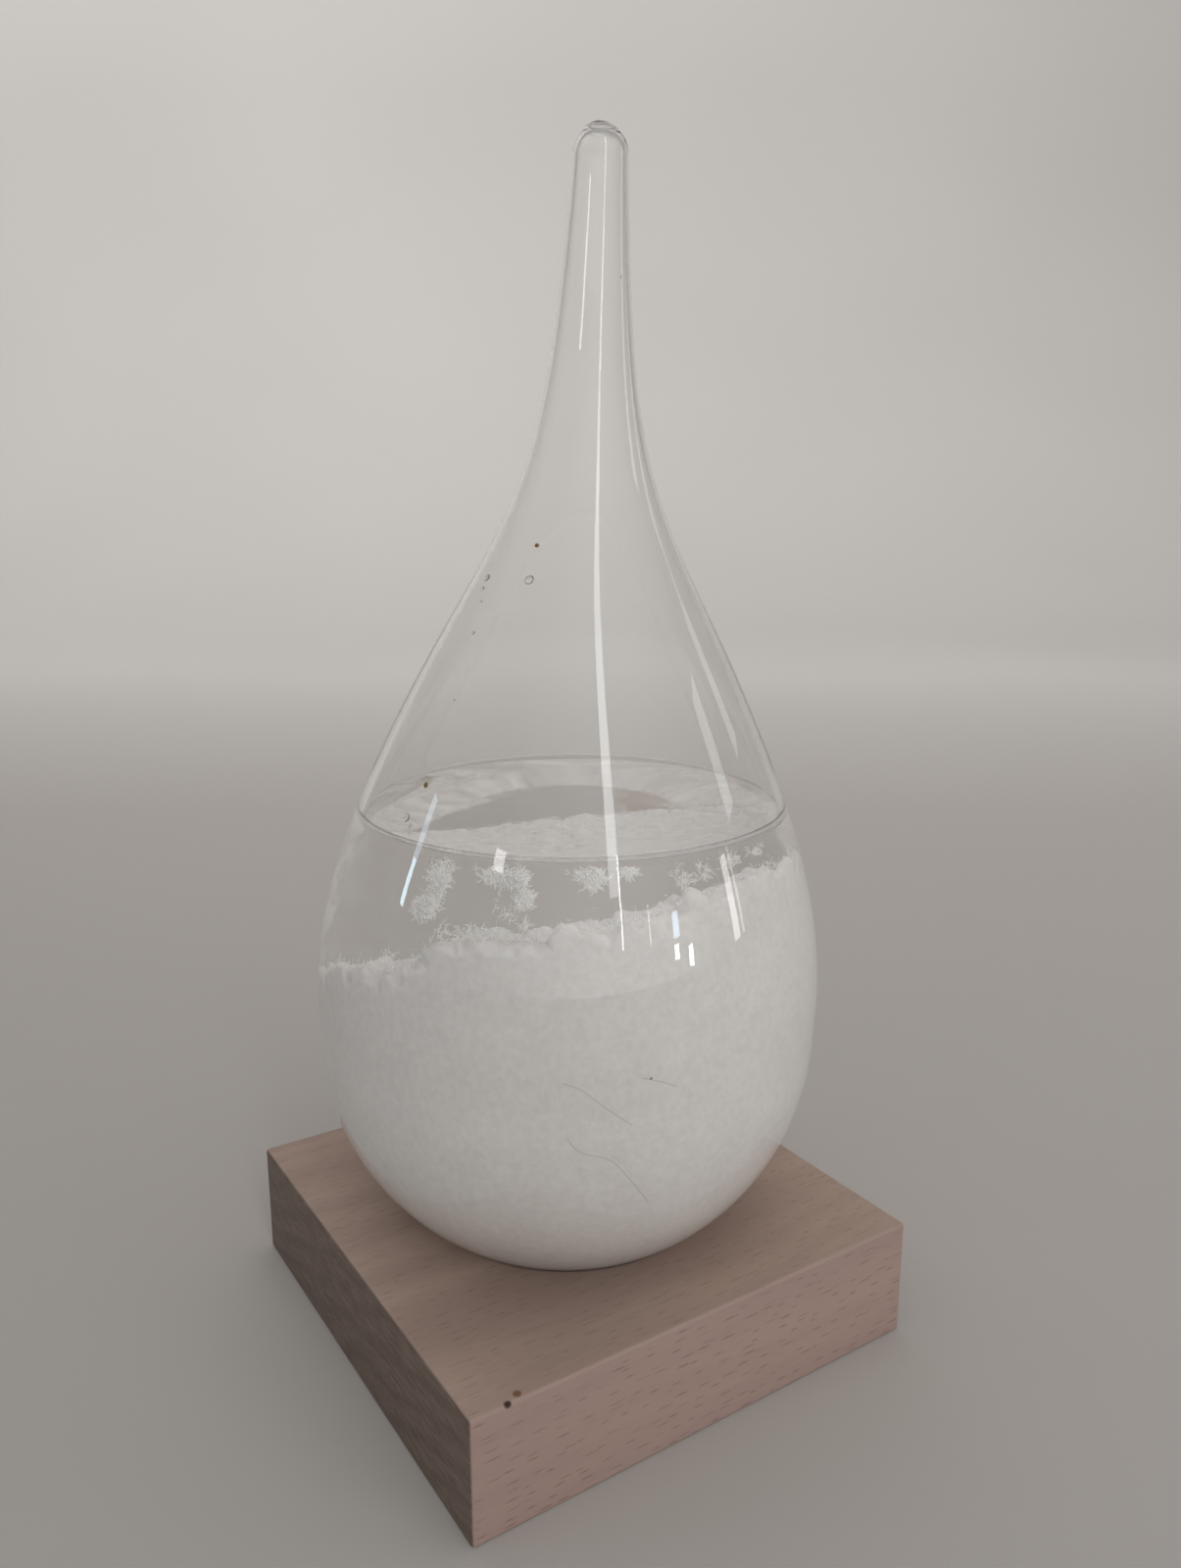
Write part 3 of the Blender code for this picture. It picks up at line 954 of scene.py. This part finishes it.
def against_glass(place, outwards, gap):
    """The place moved out or in along a level line until it is this far inside the glass."""
    place = place.copy()
    place.z = min(place.z, LEVEL - 0.35 * MM)
    for _ in range(4):
        local = UPRIGHT @ place
        reach = bed_radius(local.z) + BED_INSET - gap
        place += outwards * (reach - sqrt(local.x**2 + local.y**2))
    return place


# ------------ small things on and in the glass
# Drops: bearing in degrees, height and radius in mm, flatness. Specks: the same without flatness
DROPS = (
    (208, 154.4, 0.95, 0.45),
    (177, 153.9, 0.70, 0.5),
    (178, 152.0, 0.40, 0.5),
    (182, 149.8, 0.32, 0.5),
    (187, 144.4, 0.42, 0.5),
    (190, 112.6, 0.80, 0.35),
    (192, 111.6, 0.45, 0.4),
    (291, 207.6, 0.45, 0.5),
    (192, 133.0, 0.25, 0.5),
    (230, 121.5, 0.22, 0.5),
    (262, 117.5, 0.22, 0.5),
)
SPECKS = ((208, 160.6, 0.42), (194.6, 119.2, 0.5), (253.7, 75.0, 0.22))
SPECK_GRAIN = 0.12 * MM
SPECK_FINENESS = 2500
SPECK_SHIFTS = (Vector((0, 0, 0)), Vector((31, 17, 5)), Vector((7, 41, 23)))


def on_glass(bearing, height, depth=0.0):
    """A point on the outer glass at a height in the glass's own frame, moved in by depth."""
    radius = outer_radius(height) - depth
    return LEANING @ polar(radius, bearing, height)


def outward(bearing, height):
    rise = (outer_radius(height + MM) - outer_radius(height - MM)) / (2 * MM)
    return (LEANING.to_3x3() @ Vector((cos(bearing), sin(bearing), -rise))).normalized()


def add_dome(shape, centre, normal, radius, flatness):
    turn = normal.to_track_quat("Z", "Y").to_matrix().to_4x4()
    matrix = Matrix.Translation(centre) @ turn @ Matrix.Diagonal((radius, radius, radius * flatness, 1))
    bmesh.ops.create_uvsphere(shape, u_segments=20, v_segments=12, radius=1.0, matrix=matrix)


def make_drops():
    """Drops of solution that have run down inside the glass."""
    shape = bmesh.new()
    for bearing, height, radius, flatness in DROPS:
        bearing = radians(bearing)
        height *= MM
        inside = wall_at(height) + 0.12 * MM
        add_dome(shape, on_glass(bearing, height, inside), outward(bearing, height), radius * MM, flatness)
    return finish_piece(object_from(shape, "condensed_drops"), SOLUTION, "glass")


def make_specks():
    """Two crumbs on the glass and one on a fibre, as small uneven grains."""
    brown = plain_speck_material("brown_speck", (0.30, 0.18, 0.07))
    shape = bmesh.new()
    for bearing, height, radius in SPECKS:
        bearing = radians(bearing)
        height *= MM
        add_dome(shape, on_glass(bearing, height, -0.05 * MM), outward(bearing, height), radius * MM, 0.5)
    for vert in shape.verts:
        place = vert.co * SPECK_FINENESS
        vert.co += SPECK_GRAIN * Vector([noise.noise(place + shift) for shift in SPECK_SHIFTS])
    return finish_piece(object_from(shape, "brown_specks"), brown, "glass")


def surface_bubbles():
    """Bubbles under the surface round the floating crystals and along the front rim."""
    rng = np.random.default_rng(5)
    spots = []
    for low, high, count, size in CLUMP_BUBBLES:
        for _ in range(count):
            spots.append((rng.uniform(low, high), rng.uniform(0.7, 1.6), size * rng.uniform(0.5, 1.0)))
    for bearing in RIM_BUBBLES:
        spots.append((bearing, 0.75, 0.28 * rng.uniform(0.7, 1.2)))
    bubbles = []
    for bearing, below, radius in spots:
        bearing = radians(bearing)
        height = level_height(SURFACE_RADIUS, bearing, LEVEL) - below * MM
        reach = inner_radius(height) - (radius + 0.15) * MM
        place = LEANING @ polar(reach, bearing, height)
        bubbles.append((place, radius * MM))
    return bubbles


def make_fibres():
    """Hair-thin fibres that cling to the front of the glass."""
    dark = plain_speck_material("dark_fibre", (0.32, 0.27, 0.22))
    runs = (
        ((236.5, 74.5), (240.0, 74.0), (243.5, 71.0), (247.0, 68.8), (250.5, 66.5)),
        ((238.0, 64.5), (240.0, 61.0), (245.5, 61.5), (249.0, 58.0), (252.5, 54.0), (256.0, 49.7)),
        ((252.0, 75.2), (254.0, 74.6), (256.5, 74.2), (259.0, 72.8)),
    )
    data = bpy.data.curves.new("loose_fibres", "CURVE")
    data.dimensions = "3D"
    data.bevel_depth = 0.03 * MM
    data.bevel_resolution = 2
    data.use_fill_caps = True
    for run in runs:
        spline = data.splines.new("NURBS")
        spline.points.add(len(run) - 1)
        spline.use_endpoint_u = True
        spline.order_u = 4
        spline.resolution_u = 8
        for point, (bearing, height) in zip(spline.points, run):
            place = on_glass(radians(bearing), height * MM, -0.04 * MM)
            point.co = (*place, 1.0)
    fibres = bpy.data.objects.new("loose_fibres", data)
    SCENE.collection.objects.link(fibres)
    return finish_piece(fibres, dark, "glass")


# ------------ stopper
def make_stopper():
    """The silicone plug, with a rounded flange below the glass and a barb above it."""
    seat = BALL_HEIGHT - BALL_RADIUS - STOPPER_GAP
    inside = BALL_HEIGHT - BALL_RADIUS + BULB_WALL + STOPPER_GAP
    outline = [
        (0, inside + 3.2 * MM),
        (PLUG_RADIUS - 1.2 * MM, inside + 3.2 * MM),
        (PLUG_RADIUS - 0.7 * MM, inside + 3.0 * MM),
        (BARB_RADIUS - 0.1 * MM, inside + 0.9 * MM),
        (BARB_RADIUS, inside + 0.6 * MM),
        (BARB_RADIUS - 0.1 * MM, inside + 0.25 * MM),
        (PLUG_RADIUS + 0.1 * MM, inside + 0.05 * MM),
        (PLUG_RADIUS, inside - 0.1 * MM),
        (PLUG_RADIUS, seat + 0.05 * MM),
        (PLUG_RADIUS + 0.2 * MM, seat),
        (FLANGE_RADIUS - 0.4 * MM, seat),
    ]
    for step in range(FLANGE_POINTS + 1):
        angle = pi / 2 - FLANGE_TURN * step / FLANGE_POINTS
        across = FLANGE_RADIUS - FLANGE_ROUND + FLANGE_ROUND * cos(angle)
        outline.append((across, seat - FLANGE_ROUND + FLANGE_ROUND * sin(angle)))
    outline += [
        (FLANGE_RADIUS - 1.6 * MM, seat - 2.3 * MM),
        (FLANGE_RADIUS - 3.8 * MM, seat - 2.7 * MM),
        (0, seat - 2.8 * MM),
    ]
    stopper = lean(turned("silicone_plug", outline, 72))
    return finish_piece(stopper, SILICONE, "glass", ["filling_stopper"])


# ------------ beech block
def make_block():
    size = block_high - block_low
    shape = bmesh.new()
    bmesh.ops.create_cube(shape, size=1.0)
    bmesh.ops.scale(shape, vec=size, verts=shape.verts)
    bmesh.ops.translate(shape, vec=(block_low + block_high) / 2, verts=shape.verts)
    block = object_from(shape, "beech_block", smooth=False)

    radius = BALL_RADIUS + SEAT_CLEARANCE
    rim = asin((BLOCK_TOP - BALL_HEIGHT) / radius)
    edge = -atan2(sqrt(radius**2 - WELL_RADIUS**2), WELL_RADIUS)
    mouth = radius * cos(rim)
    high = BLOCK_TOP + CUTTER_REACH
    outline = [(0, high), (mouth + SEAT_EASE + CUTTER_REACH, high), (mouth + SEAT_EASE, BLOCK_TOP)]
    outline += [tuple(p) for p in arc(BALL_HEIGHT, radius, rim - SEAT_EASE / radius, edge, SEAT_POINTS)]
    outline += [(WELL_RADIUS, WELL_FLOOR), (0, WELL_FLOOR)]
    cutter = turned("seat_cutter", outline, SEAT_STEPS)
    pit = bmesh.new()
    bmesh.ops.create_icosphere(pit, subdivisions=3, radius=1.0)
    bmesh.ops.scale(pit, vec=PIT_SIZE, verts=pit.verts)
    bmesh.ops.translate(pit, vec=PIT_PLACE, verts=pit.verts)
    pit_cutter = object_from(pit, "pit_cutter")

    ease_edges = block.modifiers.new("eased_edges", "BEVEL")
    ease_edges.width = BLOCK_EDGE
    ease_edges.segments = 4
    ease_edges.limit_method = "ANGLE"
    for tool in (cutter, pit_cutter):
        cut = block.modifiers.new(tool.name, "BOOLEAN")
        cut.operation = "DIFFERENCE"
        cut.object = tool
        cut.solver = "EXACT"
    apply_modifiers(block)
    for tool in (cutter, pit_cutter):
        bpy.data.objects.remove(tool, do_unlink=True)
    block.data.shade_smooth()
    block.data.set_sharp_from_angle(angle=radians(30))
    return finish_piece(block, BEECH, "base", ["base_block"])


# ------------ camera, floor and light
CAMERA_PLACE = (-0.1232, -0.1978, 0.1683)
CAMERA_AHEAD = Vector((0.53187, 0.81542, -0.22847))
CAMERA_LENS = 27.56
DEPTH_AXIS = Vector((0.5464, 0.8375, 0))
SIDE_AXIS = Vector((0.8375, -0.5464, 0))

# Light from all round: an even base, and on it glows with a direction, a strength and a focus
WORLD_BASE = 0.27
WORLD_GLOWS = (((0.0, 0.0, 1.0), 0.06, 1.0), ((-0.15, -0.92, 0.36), 0.56, 3.0))

# The stage in metres: floor before and behind the glass, radius of its curve, height, half its width
FLOOR_BEFORE = 9.0
FLOOR_BEHIND = 1.3
SWEEP_RADIUS = 0.9
SWEEP_HEIGHT = 2.6
SWEEP_HALF = 14.0
SWEEP_STEPS = 12

# Window panes and gaps that show in the glass: bearing and elevation in degrees, width and height
# in metres, radiance, colour
LAMP_DISTANCE = 1.8
BULB_MIDDLE = Vector((0, 0, 0.1))
BACKDROP_MIDDLE = Vector((1.2, 1.8, 1.2))
PANES = (
    ("pane_blue", 285.5, 9.5, 0.09, 0.14, 2.6, (0.60, 0.80, 1.0)),
    ("pane_low", 284.8, 4.6, 0.06, 0.09, 7.0, (1.0, 0.97, 0.93)),
    ("pane_tall", 291.5, 2.6, 0.06, 0.13, 7.0, (1.0, 0.97, 0.93)),
    ("pane_side", 317.0, 6.0, 0.12, 0.40, 1.6, (1.0, 0.98, 0.96)),
    ("pane_side_edge", 321.2, 6.0, 0.04, 0.40, 0.9, (1.0, 0.98, 0.96)),
    ("gap_left", 260.8, 16.5, 0.02, 0.50, 4.0, (0.97, 1.0, 0.98)),
    ("gap_haze", 258.5, 36.0, 0.15, 1.15, 1.5, (0.97, 1.0, 1.0)),
    ("gap_right", 273.2, 11.5, 0.012, 0.24, 2.4, (1.0, 0.98, 0.93)),
    ("door_gap", 153.5, 10.5, 0.07, 0.22, 3.0, (0.62, 0.86, 1.0)),
    ("door_haze", 153.5, 18.0, 0.10, 0.26, 1.0, (0.62, 0.84, 1.0)),
    ("neck_soft", 201.0, 23.5, 0.16, 0.10, 1.8, (1.0, 1.0, 1.0)),
    ("neck_line", 331.0, 20.0, 0.22, 0.42, 0.55, (0.96, 1.0, 1.0)),
    ("shoulder_line", 354.0, 18.0, 0.20, 0.4, 0.3, (1.0, 1.0, 1.0)),
)


def make_camera():
    data = bpy.data.cameras.new("camera")
    data.lens = CAMERA_LENS
    data.sensor_width = 36.0
    data.clip_start = 0.01
    camera = bpy.data.objects.new("camera", data)
    camera.location = CAMERA_PLACE
    camera.rotation_euler = CAMERA_AHEAD.to_track_quat("-Z", "Y").to_euler()
    SCENE.collection.objects.link(camera)
    SCENE.camera = camera


def make_stage():
    """A sheet of pale paper that runs along the floor and sweeps up behind."""
    section = [(-FLOOR_BEFORE, 0.0), (FLOOR_BEHIND, 0.0)]
    for step in range(1, SWEEP_STEPS + 1):
        angle = pi / 2 * step / SWEEP_STEPS
        section.append((FLOOR_BEHIND + SWEEP_RADIUS * sin(angle), SWEEP_RADIUS - SWEEP_RADIUS * cos(angle)))
    section.append((FLOOR_BEHIND + SWEEP_RADIUS, SWEEP_HEIGHT))
    verts = []
    faces = []
    for index, (depth, height) in enumerate(section):
        for side in (-SWEEP_HALF, SWEEP_HALF):
            verts.append(DEPTH_AXIS * depth + SIDE_AXIS * side + Vector((0, 0, height)))
        if index:
            a = 2 * index - 2
            faces.append((a, a + 1, a + 3, a + 2))
    paper = mesh_object("paper_sweep", verts, faces)
    paper.data.materials.append(studio_material())


def point_at(lamp, target):
    lamp.rotation_euler = (target - lamp.location).to_track_quat("-Z", "Y").to_euler()


def add_area(name, azimuth, elevation, distance, size, power, colour=(1, 1, 1)):
    """A flat lamp at a bearing and an elevation round the bulb, in degrees, facing it."""
    data = bpy.data.lights.new(name, "AREA")
    data.shape = "RECTANGLE"
    data.size, data.size_y = size
    data.energy = power
    data.color = colour
    lamp = bpy.data.objects.new(name, data)
    a = radians(azimuth)
    e = radians(elevation)
    lamp.location = BULB_MIDDLE + distance * Vector((cos(a) * cos(e), sin(a) * cos(e), sin(e)))
    point_at(lamp, BULB_MIDDLE)
    SCENE.collection.objects.link(lamp)
    return lamp


def make_lights():
    above = add_area("overhead", 40, 80, 1.7, (1.4, 1.4), 2.0, (1.0, 0.99, 0.97))
    wash = add_area("backdrop_wash", 100, 65, 1.9, (2.5, 0.6), 24, (1.0, 0.99, 0.975))
    point_at(wash, BACKDROP_MIDDLE)
    for lamp in (above, wash):
        lamp.visible_glossy = False
        lamp.visible_camera = False
        lamp.visible_transmission = False
    for name, azimuth, elevation, width, height, radiance, colour in PANES:
        power = radiance * pi * width * height
        lamp = add_area(name, azimuth, elevation, LAMP_DISTANCE, (width, height), power, colour)
        lamp.data.spread = radians(90)
        lamp.visible_camera = False
        lamp.visible_transmission = False
    make_world()


def world_step(tree, kind, operation, source, value):
    step = tree.nodes.new("ShaderNode" + kind)
    step.operation = operation
    step.inputs[1].default_value = value
    tree.links.new(source, step.inputs[0])
    return step


def make_world():
    """Soft light from all round, with a broad glow from the front right and above."""
    world = bpy.data.worlds.new("studio_air")
    world.use_nodes = True
    tree = world.node_tree
    place = tree.nodes.new("ShaderNodeTexCoord")
    total = None
    for direction, strength, focus in WORLD_GLOWS:
        facing = world_step(tree, "VectorMath", "DOT_PRODUCT", place.outputs["Generated"], direction)
        glow = world_step(tree, "Math", "MAXIMUM", facing.outputs["Value"], 0.0)
        focused = world_step(tree, "Math", "POWER", glow.outputs[0], focus)
        scaled = world_step(tree, "Math", "MULTIPLY_ADD", focused.outputs[0], strength)
        scaled.inputs[2].default_value = WORLD_BASE
        if total:
            tree.links.new(total, scaled.inputs[2])
        total = scaled.outputs[0]
    air = tree.nodes["Background"]
    air.inputs["Color"].default_value = (1.0, 0.99, 0.98, 1)
    tree.links.new(total, air.inputs["Strength"])
    SCENE.world = world


# ------------ the scene
make_camera()
make_stage()
make_lights()
make_block()
make_vessel()
make_solution(surface_bubbles())
make_bed()
make_bed_feathers()
for size, seed, lobes in CLUMPS:
    make_clump("crystal_clump_" + size, "frost_clump_" + size, seed, lobes)
make_stopper()
make_drops()
make_specks()
make_fibres()

SCENE.view_settings.view_transform = "Standard"
# Light crosses many walls here, and scatters on among the ferns
light_paths = SCENE.cycles
light_paths.max_bounces = 24
light_paths.diffuse_bounces = 12
light_paths.glossy_bounces = 16
light_paths.transmission_bounces = 20
